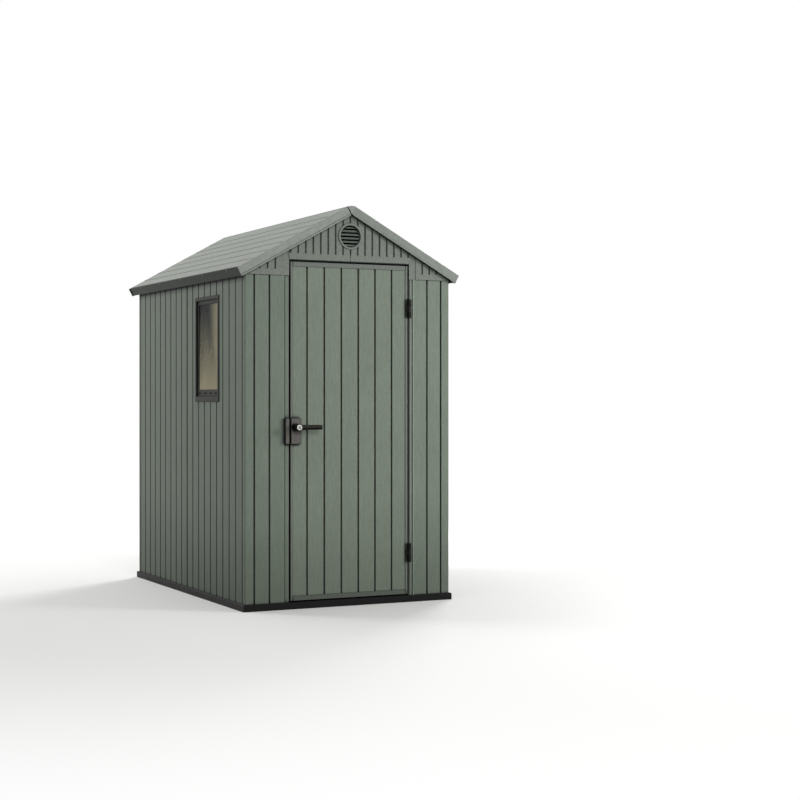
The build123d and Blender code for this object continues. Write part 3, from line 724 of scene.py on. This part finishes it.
# %% Window finishes
PLATE_BLUR = 1 * MM
SASH_RAIL_TOP = (1120 * MM, 1130 * MM)
flange_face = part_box("window_frame")[0].x

frame_finish = smooth_resin(
    "moulded_polypropylene_window_frame",
    "343733",
    roughness=0.5,
    specular=0.1,
    # Painted shade on the reveal behind the flange.
    patches=[("X", flange_face + PLATE_BLUR / 2, flange_face + 2 * PLATE_BLUR, "242723")],
)
sash_finish = smooth_resin(
    "moulded_polypropylene_sash",
    "35362F",
    roughness=0.5,
    specular=0.1,
    # Painted shade above the sash's bottom rail.
    patches=[("Z", *SASH_RAIL_TOP, "2B2D2A")],
)
print("window flange faces out at", in_mm(flange_face), "mm")

# %% [markdown]
# ### Lock and hinges
#
# The lock and the hinges are nylon. The lock's case has a grained face in a warm grey, and its
# sides are black. A hinge's barrel is black, and of its two plates the one on the door is the
# darker. The lever is olive black where it faces out, and black round its hub. Its sides and its
# lower half are painted black as shade, so the half that faces up shows lighter, as a painted
# reflection of the sky. It is the smoothest of the dark resins, because hands polish it.

# %% Lock and hinge finishes
LOCK_RIM = 1.2 * MM
HINGE_PLATE = 4 * MM
HUB_RIM = 3 * MM
LEVER_HALF = 16 * MM
LEVER_BLACK_AND_SHADE = "070706"
lock_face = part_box("lock_case")[0].y
hinge_low, hinge_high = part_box("hinge_upper_pin")
hinge_axis = (hinge_low.x + hinge_high.x) / 2
hinge_plate_face = leaf_low.y - HINGE_PLATE
lever_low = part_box("lever")[0]
lever_middle = lever_low.z + LEVER_HALF
hub_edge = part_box("key_cylinder")[1].x + HUB_RIM

lock_finish = grained_resin(
    "moulded_nylon_lock",
    "5C5955",
    along="Z",
    mottle=0.08,
    patches=[("Y", lock_face + LOCK_RIM, lock_face + LOCK_RIM + PLATE_BLUR, "0B0C0A")],
)
hinge_finish = smooth_resin(
    "moulded_nylon_hinge",
    "40463F",
    roughness=0.5,
    specular=0.12,
    patches=[
        ("X", hinge_axis - PLATE_BLUR / 2, hinge_axis + PLATE_BLUR / 2, "5F605B"),
        ("Y", hinge_plate_face - PLATE_BLUR / 2, hinge_plate_face - PLATE_BLUR, "060705"),
    ],
)
lever_finish = smooth_resin(
    "moulded_nylon_lever",
    "282822",
    roughness=0.4,
    specular=0.1,
    patches=[
        # Painted shade on the lever's sides and lower half; the hub's black is its own.
        ("Y", lever_low.y + PLATE_BLUR / 2, lever_low.y + PLATE_BLUR, LEVER_BLACK_AND_SHADE),
        ("X", hub_edge + PLATE_BLUR, hub_edge, LEVER_BLACK_AND_SHADE),
        ("Z", lever_middle + PLATE_BLUR, lever_middle - PLATE_BLUR, LEVER_BLACK_AND_SHADE),
    ],
)
print("hinge axis at", in_mm(hinge_axis), "mm, lock face at", in_mm(lock_face), "mm")

# %% [markdown]
# ## Metal
#
# The key cylinder is die cast zinc with a satin nickel plate, its plug is a duller one that keys
# have brushed, the hinge pins are drawn steel, the ridge beam is galvanised steel and the screws
# are blackened. A metal keeps the shader's own index of refraction and takes its look from its
# colour and roughness. A cell pattern as large as its crystals lets the tone wander between two
# greys, which shows as a soft glitter, and on the galvanised beam as the spangle of the zinc.

# %% Metal finishes
def metal(name, face, shade, roughness, crystal):
    """Metal whose tone wanders a little from crystal to crystal."""
    material = new_material(name)
    tree = material.node_tree
    place = add(tree, "TexCoord").outputs["Object"]
    cells = add(tree, "TexVoronoi", {"Vector": place, "Scale": 1 / crystal})
    share = add(tree, "SeparateColor", [cells.outputs["Color"]])
    tone = add(
        tree,
        "Mix",
        {0: share, MIX_A: linear(shade), MIX_B: linear(face)},
        data_type="RGBA",
    )
    surface = add(
        tree,
        "BsdfPrincipled",
        {"Base Color": tone.outputs[MIX_COLOUR], "Metallic": 1.0, "Roughness": roughness},
    )
    add(tree, "OutputMaterial", {"Surface": surface})
    return material


key_finish = metal("satin_nickel_plated_zinc", "D5D6D2", "C9CAC6", 0.28, crystal=2 * MM)
plug_finish = metal("brushed_nickel_plated_zinc", "8A8C87", "7D7F7A", 0.34, crystal=2 * MM)
pin_finish = metal("drawn_steel", "5E5E5C", "505050", 0.35, crystal=1 * MM)
beam_finish = metal("galvanised_steel", "9A9C9C", "85888A", 0.42, crystal=9 * MM)
screw_finish = metal("blackened_steel", "3A3A38", "2E2E2C", 0.38, crystal=1 * MM)
metals = (key_finish, plug_finish, pin_finish, beam_finish, screw_finish)
print("metals", [material.name for material in metals])

# %% [markdown]
# ## The window pane
#
# The pane is clear cast acrylic sheet, which is nearly as clear as glass. A thin sheet hardly shifts
# what is seen through it, so its index of refraction is close to one. A pale tan film grows towards
# its foot and towards its front edge: partly dust, and partly a painted reflection of the ground
# and the things round it. Soft upright streaks break up the film. It makes the pane less clear and
# less smooth, so the eye gets a pale haze low down and a darker, clearer pane at the top.

# %% Clear sheet
STREAK_WIDTH = 22.5 * MM
STREAK_LENGTH = 135 * MM
STREAK_SHADES = (0.78, 1.12)
FILM_FRONT_EDGE = 170 * MM
FOOT_FILM = 0.95
FILM_ROUGHNESS = (0.03, 0.5)
THIN_SHEET_IOR = 1.07


def dusty_reflecting_sheet(name, clear, dust_and_reflection, low, high):
    """Clear sheet with a film, dust and painted reflection, growing to its foot and front edge."""
    material = new_material(name)
    tree = material.node_tree
    place = add(tree, "TexCoord").outputs["Object"]
    axes = add(tree, "SeparateXYZ", [place]).outputs
    noise = grain_noise(tree, place, STREAK_WIDTH, STREAK_LENGTH, along="Z")
    streaks = add(tree, "MapRange", [noise, *NOISE_SPREAD, *STREAK_SHADES])
    # The film, partly dust and partly painted reflection, grows towards the foot.
    height = add(tree, "MapRange", [axes["Z"], high.z, low.z, 0.0, FOOT_FILM])
    foot = add(tree, "Math", [height, streaks], operation="MULTIPLY")
    front = add(tree, "MapRange", [axes["Y"], low.y + FILM_FRONT_EDGE, low.y])
    film = add(tree, "Math", [foot, front], operation="MAXIMUM")
    tone = add(
        tree,
        "Mix",
        {0: film, MIX_A: linear(clear), MIX_B: linear(dust_and_reflection)},
        data_type="RGBA",
    )
    surface = add(
        tree,
        "BsdfPrincipled",
        {
            "Base Color": tone.outputs[MIX_COLOUR],
            "Roughness": add(tree, "MapRange", [film, 0.0, 1.0, *FILM_ROUGHNESS]),
            "IOR": THIN_SHEET_IOR,
            "Transmission Weight": add(tree, "MapRange", [film, 0.0, 1.0, 1.0, 0.0]),
        },
    )
    add(tree, "OutputMaterial", {"Surface": surface})
    return material


pane_low, pane_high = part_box("window_glass")
# The tan of the film is partly dust and partly painted reflection.
pane_finish = dusty_reflecting_sheet("cast_acrylic_sheet", "686F6A", "BCB394", pane_low, pane_high)
print("pane", in_mm(pane_high.y - pane_low.y, pane_high.z - pane_low.z), "mm")

# %% [markdown]
# ## Finishes onto the pieces
#
# Each piece of the drawing takes the finish of the real one. The names say what the piece is, so a
# table from the start of a name to a finish covers them all. The first start that fits counts.

# %% Assign the finishes
FINISHES = {
    "wall_": wall_finish,
    "front_panel_left": lock_side_finish,
    "front_panel_right": hinge_side_finish,
    "back_panel_": wall_finish,
    "gable_front_": front_gable_finish,
    "gable_back_": back_gable_finish,
    "vent_": vent_finish,
    "roof_": roof_finish,
    "ridge_cap": roof_finish,
    "rake_band_": band_finish,
    "eave_fascia_": fascia_finish,
    "ridge_beam": beam_finish,
    "door_leaf": door_finish,
    "door_post_": post_shade_finish,
    "door_head": post_shade_finish,
    "floor": floor_finish,
    "window_frame": frame_finish,
    "window_sash": sash_finish,
    "window_glass": pane_finish,
    "hinge_upper_pin": pin_finish,
    "hinge_lower_pin": pin_finish,
    "hinge_": hinge_finish,
    "lock_": lock_finish,
    "lever": lever_finish,
    "key_cylinder": key_finish,
}

for name, node in nodes.items():
    start = next(s for s in FINISHES if name.startswith(s))
    node.data.materials.clear()
    node.data.materials.append(FINISHES[start])
print("finished", len(nodes), "pieces with", len(set(FINISHES.values())), "finishes")

# %% [markdown]
# ## Small pieces left out of the drawing
#
# Screws, seals and clips are too small for the drawing but show in a close view. Each one is a mesh
# of its own, made in place, and rides with the body that carries it, so that it follows the door or
# the lever. Its normals are recalculated last, because joined rings can face either way.

# %% Helpers for small pieces
FRONT, BACK = 1, -1


def piece(name, mesh, body, finish):
    """Turn a bmesh into a piece of the shed that moves with a body."""
    bmesh.ops.recalc_face_normals(mesh, faces=mesh.faces)
    data = bpy.data.meshes.new(name)
    mesh.to_mesh(data)
    mesh.free()
    data.materials.append(finish)
    made = bpy.data.objects.new(name, data)
    bpy.context.scene.collection.objects.link(made)
    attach(made, body)
    return made


def facing(way, place):
    """The matrix that turns what was made facing up to the front or the back, at its place."""
    return Matrix.Translation(place) @ Matrix.Rotation(way * math.pi / 2, 4, "X")


def round_edges(mesh, edges, radius):
    """Round some edges of a mesh, as a mould does."""
    bmesh.ops.bevel(
        mesh,
        geom=edges,
        affect="EDGES",
        offset=radius,
        segments=2,
        profile=0.5,
        material=-1,
    )


def rounded_slab(size, radius):
    """A slab about the origin with rounded edges."""
    mesh = bmesh.new()
    bmesh.ops.create_cube(mesh, size=1)
    bmesh.ops.scale(mesh, vec=size, verts=mesh.verts)
    round_edges(mesh, mesh.edges[:], radius)
    return mesh


# %% [markdown]
# ### Heads of screws and of the key plug
#
# A pan head is a low round dome with a cross recess. A boolean cut would leave thin stray faces.
# Here a small square grid forms the middle of the top, and rings of twelve edges are bridged to it,
# because a grid of three by three also has twelve edges round its rim. The cross is five of the
# grid's faces, sunk in one inset. The same head with only the upright bar of the cross sunk is the
# plug of a lock, whose slot takes the key.

# %% Round heads
HEAD_EDGES = 12
BRIM_LIFT = 0.55
DOME_LIFT = 0.92
DOME_WIDTH = 0.84


def ring(mesh, radius, height, closed=False):
    """A ring of edges at a height, with a face inside it where it is closed."""
    made = bmesh.ops.create_circle(
        mesh,
        cap_ends=closed,
        segments=HEAD_EDGES,
        radius=radius,
        matrix=Matrix.Translation((0, 0, height)),
    )
    corners = set(made["verts"])
    return [edge for edge in mesh.edges if corners.issuperset(edge.verts)]


def round_head(radius, height, recess, slot_only=False):
    """A low domed head that faces up, with a cross or a slot sunk in its top."""
    mesh = bmesh.new()
    foot = ring(mesh, radius, 0, closed=True)
    brim = ring(mesh, radius, height * BRIM_LIFT)
    dome = ring(mesh, radius * DOME_WIDTH, height * DOME_LIFT)
    grid = bmesh.ops.create_grid(
        mesh,
        x_segments=3,
        y_segments=3,
        size=recess,
        matrix=Matrix.Translation((0, 0, height)),
    )
    corners = set(grid["verts"])
    top = [face for face in mesh.faces if corners.issuperset(face.verts)]
    rim = [edge for edge in mesh.edges if edge.is_boundary and corners.issuperset(edge.verts)]
    for lower, upper in ((foot, brim), (brim, dome), (dome, rim)):
        bmesh.ops.bridge_loops(mesh, edges=lower + upper)
    sunk = []
    for face in top:
        middle = face.calc_center_median()
        upright_bar = abs(middle.x) < recess / 3
        level_bar = abs(middle.y) < recess / 3 and not slot_only
        if upright_bar or level_bar:
            sunk.append(face)
    bmesh.ops.inset_region(mesh, faces=sunk, thickness=recess / 12, depth=-height / 2)
    return mesh


print("a round head has", HEAD_EDGES, "sides")

# %% [markdown]
# ### Hinge screws
#
# Each hinge is screwed to the door through the two ends of its leaf plate and to the wall through
# the middle of its frame plate, where the barrel's middle knuckle leaves the plate free.

# %% Hinge screws
SCREW_RADIUS = 3.1 * MM
SCREW_HEIGHT = 1.5 * MM
SCREW_RECESS = 1.4 * MM
LEAF_SCREW_INSET = 5.2 * MM
FRAME_SCREW_INSET = 6 * MM
FRAME_PLATE_DEPTH = 1 * MM


def screw(name, matrix, body):
    """A pan head screw, turned and placed by a matrix."""
    mesh = round_head(SCREW_RADIUS, SCREW_HEIGHT, SCREW_RECESS)
    bmesh.ops.transform(mesh, matrix=matrix, verts=mesh.verts)
    return piece(name, mesh, body, screw_finish)


frame_plate_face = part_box("front_panel_right")[0].y + FRAME_PLATE_DEPTH
for level in ("upper", "lower"):
    low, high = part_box(f"hinge_{level}_leaf")
    middle = (low.z + high.z) / 2
    third = (high.z - low.z) / 3
    for k, lift in enumerate((-third, third)):
        spot = (low.x + LEAF_SCREW_INSET, hinge_plate_face, middle + lift)
        screw(f"hinge_{level}_leaf_screw_{k + 1}", facing(FRONT, spot), "door")
    frame_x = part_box(f"hinge_{level}_frame")[1].x - FRAME_SCREW_INSET
    spot = (frame_x, frame_plate_face, middle)
    made = screw(f"hinge_{level}_frame_screw", facing(FRONT, spot), "shed")
print("six hinge screws,", len(made.data.polygons), "faces each, heads", in_mm(2 * SCREW_RADIUS), "mm")

# %% [markdown]
# ### Key plug
#
# The key cylinder's bright disc has a plug in its middle that turns with the key. It is a separate
# part of the real cylinder, a little duller than its ring. A thin black ring round it is painted
# shade, the shade in the gap between the plug and the cylinder.

# %% Key plug
PLUG_RADIUS = 7.5 * MM
PLUG_HEIGHT = 0.9 * MM
PLUG_SLOT = 4 * MM
PLUG_GAP = 1.3 * MM
SHADE_RING_HEIGHT = 0.3 * MM
key_low, key_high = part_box("key_cylinder")
plug_spot = Vector(((key_low.x + key_high.x) / 2, key_low.y, (key_low.z + key_high.z) / 2))

# Painted shade: a thin black ring round the plug.
shade_ring = bmesh.new()
shade_ring_foot = ring(shade_ring, PLUG_RADIUS + PLUG_GAP, 0, closed=True)
shade_ring_top = ring(shade_ring, PLUG_RADIUS + PLUG_GAP, SHADE_RING_HEIGHT, closed=True)
bmesh.ops.bridge_loops(shade_ring, edges=shade_ring_foot + shade_ring_top)
plug = round_head(PLUG_RADIUS, PLUG_HEIGHT, PLUG_SLOT, slot_only=True)
for name, mesh, finish, slot in (
    ("key_plug_shade_ring", shade_ring, rubber_finish, "black_resin"),
    ("key_plug", plug, plug_finish, "key_metal"),
):
    bmesh.ops.transform(mesh, matrix=facing(FRONT, plug_spot), verts=mesh.verts)
    piece(name, mesh, "lever", finish)
print("key plug at", in_mm(*plug_spot), "mm")

# %% [markdown]
# ### Back plate of the lock
#
# The lock case is clamped to the door by a plate on the inside, with two screws through the leaf.
# The plate is a slab with rounded edges: a cube scaled to size and bevelled.

# %% Lock back plate
BACK_PLATE = Vector((40 * MM, 3 * MM, 132 * MM))
BACK_PLATE_EDGE = 1 * MM
BACK_PLATE_X = -302 * MM
BACK_SCREW_LIFT = 48 * MM
case_low, case_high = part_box("lock_case")
plate_centre = Vector((
    BACK_PLATE_X,
    leaf_high.y + BACK_PLATE.y / 2,
    (case_low.z + case_high.z) / 2,
))

mesh = rounded_slab(BACK_PLATE, BACK_PLATE_EDGE)
bmesh.ops.translate(mesh, vec=plate_centre, verts=mesh.verts)
piece("lock_back_plate", mesh, "door", lock_finish)
for k, lift in enumerate((-BACK_SCREW_LIFT, BACK_SCREW_LIFT)):
    spot = plate_centre + Vector((0, BACK_PLATE.y / 2, lift))
    screw(f"lock_back_screw_{k + 1}", facing(BACK, spot), "door")
print("lock plate", in_mm(*BACK_PLATE), "mm, middle at", in_mm(*plate_centre), "mm")

# %% [markdown]
# ### Window seal
#
# A strip of rubber lies in the corner between the sash and the pane and keeps the rain out. It is a
# flat ring, and two rectangles could be bridged for it. One rectangle with an inset is simpler: its
# border becomes the strip, its middle face is removed, and the strip is pulled out to its depth.
# The rounded edges are those where two faces meet steeply, so the flat corners stay as they are.

# %% Window seal
SEAL_WIDTH = 3.5 * MM
SEAL_DEPTH = 2.4 * MM
SEAL_EDGE = 0.6 * MM
PANE_BITE = 6.7 * MM
STEEP = math.radians(60)
pane_centre = (pane_low + pane_high) / 2
opening = (pane_high - pane_low) / 2 - Vector((0, PANE_BITE, PANE_BITE))
upright = Matrix((
    (0, 0, -1, pane_low.x),
    (1, 0, 0, pane_centre.y),
    (0, -1, 0, pane_centre.z),
    (0, 0, 0, 1),
))

mesh = bmesh.new()
bmesh.ops.create_grid(mesh, x_segments=1, y_segments=1, size=1)
bmesh.ops.scale(mesh, vec=(opening.y, opening.z, 1), verts=mesh.verts)
middle_face = mesh.faces[:]
inset = bmesh.ops.inset_region(
    mesh,
    faces=middle_face,
    thickness=SEAL_WIDTH,
    use_boundary=True,
)
bmesh.ops.delete(mesh, geom=middle_face, context="FACES")
raised = bmesh.ops.extrude_face_region(mesh, geom=inset["faces"], use_keep_orig=True)["geom"]
raised_points = [part for part in raised if isinstance(part, bmesh.types.BMVert)]
raised_edges = [part for part in raised if isinstance(part, bmesh.types.BMEdge)]
bmesh.ops.translate(mesh, vec=(0, 0, SEAL_DEPTH), verts=raised_points)
mesh.normal_update()
round_edges(mesh, [edge for edge in raised_edges if edge.calc_face_angle() > STEEP], SEAL_EDGE)
bmesh.ops.transform(mesh, matrix=upright, verts=mesh.verts)
seal = piece("window_seal", mesh, "shed", rubber_finish)
print("window seal", len(seal.data.polygons), "faces", in_mm(*seal.dimensions), "mm")

# %% [markdown]
# ### Eave clips
#
# The fascias are held by spring clips, which show as short bars in the five slots along each eave.
# Each is a bar with rounded edges and a round pin in its middle. The slots lie square to the roof's
# slope, so a clip is made flat, facing up, and one matrix turns it: its length runs along the eave,
# its height down the fascia and its face outward. It is placed from the roof's outermost corner,
# which the bands form 1722 mm above the ground. The clips of the right eave are mirrored.

# %% Eave clips
CLIPS = 5
CLIP_SIZE = Vector((21 * MM, 6 * MM, 2.6 * MM))
CLIP_EDGE = 0.7 * MM
CLIP_DROP = 7 * MM
CLIP_SEAT = 9 * MM
PIN_RADIUS = 1.9 * MM
PIN_HEIGHT = 0.9 * MM
PIN_RECESS = 0.7 * MM
EAVE_CORNER_HEIGHT = 1722 * MM
eave_corner = Vector((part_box("rake_band_front_left")[0].x, 0, EAVE_CORNER_HEIGHT))
outward = Vector((-math.cos(ROOF_ANGLE), 0, -math.sin(ROOF_ANGLE)))
downward = Vector((math.sin(ROOF_ANGLE), 0, -math.cos(ROOF_ANGLE)))
turned = Matrix((Vector((0, 1, 0)), downward, outward)).transposed().to_4x4()
clip_spot = eave_corner - outward * CLIP_SEAT + downward * CLIP_DROP


def eave_clip(side, middle_y):
    """The bar and the pin of one clip, on the left (-1) or the right (1)."""
    bar = rounded_slab(CLIP_SIZE, CLIP_EDGE)
    bmesh.ops.translate(bar, vec=(0, 0, CLIP_SIZE.z / 2), verts=bar.verts)
    pin = round_head(PIN_RADIUS, PIN_HEIGHT, PIN_RECESS)
    bmesh.ops.translate(pin, vec=(0, 0, CLIP_SIZE.z), verts=pin.verts)
    place = Matrix.Translation(clip_spot + Vector((0, middle_y, 0)))
    for mesh in (bar, pin):
        bmesh.ops.transform(mesh, matrix=place @ turned, verts=mesh.verts)
        bmesh.ops.scale(mesh, vec=(-side, 1, 1), verts=mesh.verts)
    return bar, pin


fascia_low, fascia_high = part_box("eave_fascia_left")
clip_pitch = (fascia_high.y - fascia_low.y) / CLIPS
for side, word in ((-1, "left"), (1, "right")):
    for k in range(CLIPS):
        bar, pin = eave_clip(side, fascia_low.y + (k + 0.5) * clip_pitch)
        piece(f"eave_clip_{word}_{k + 1}", bar, "shed", clip_highlight_finish)
        piece(f"eave_clip_pin_{word}_{k + 1}", pin, "shed", screw_finish)
print(2 * CLIPS, "eave clips every", in_mm(clip_pitch), "mm")

# %% [markdown]
# ### Tread of the floor
#
# The floor panel has low bars across it, in turn lengthwise and crosswise, so that a wet sole
# doesn't slip. Four bars make the pattern, and two Array modifiers repeat them over the floor. One
# bar is a cube whose top is a little smaller than its foot, as a moulded bar has to be to leave its
# mould.

# %% Floor tread
BAR = Vector((28 * MM, 6 * MM, 1.4 * MM))
CROSS_BAR = Vector((BAR.y, BAR.x, BAR.z))
BAR_TOP = (0.92, 0.75, 1)
BAR_PITCH = 40 * MM
GROUP_PITCH = 2 * BAR_PITCH

tread = bmesh.new()
for column, row in ((0, 0), (1, 0), (0, 1), (1, 1)):
    bar = bmesh.ops.create_cube(tread, size=1)["verts"]
    bmesh.ops.scale(tread, vec=BAR_TOP, verts=[v for v in bar if v.co.z > 0])
    bmesh.ops.scale(tread, vec=BAR if column == row else CROSS_BAR, verts=bar)
    spot = Vector((column * BAR_PITCH, row * BAR_PITCH, BAR.z / 2))
    bmesh.ops.translate(tread, vec=spot, verts=bar)
print("one group of bars has", len(tread.faces), "faces")

# %% [markdown]
# The groups lie in the middle of the floor, between the side walls and between the door posts and
# the back wall, and there are as many as fit. From its first bar's middle to its last one's, a row
# is one pitch shorter than its groups together, because no bar follows the last one.

# %% Tread over the floor
inside_low = Vector((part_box("wall_left_back")[1].x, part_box("door_post_left")[1].y, 0))
inside_high = Vector((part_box("wall_right_back")[0].x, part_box("back_panel_left")[0].y, 0))
room = inside_high - inside_low
columns = int((room.x - BAR_PITCH) / GROUP_PITCH)
rows = int((room.y - BAR_PITCH) / GROUP_PITCH)
covered = Vector(((2 * columns - 1) * BAR_PITCH, (2 * rows - 1) * BAR_PITCH, 0))
start = (inside_low + inside_high - covered) / 2
start.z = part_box("floor")[1].z
bmesh.ops.translate(tread, vec=start, verts=tread.verts)
tread_piece = piece("floor_tread", tread, "shed", floor_finish)
for name, count, offset in (
    ("along_width", columns, (GROUP_PITCH, 0, 0)),
    ("along_depth", rows, (0, GROUP_PITCH, 0)),
):
    repeat = tread_piece.modifiers.new(name, "ARRAY")
    repeat.use_relative_offset = False
    repeat.use_constant_offset = True
    repeat.constant_offset_displace = offset
    repeat.count = count
print("floor tread", columns, "by", rows, "groups of four bars")
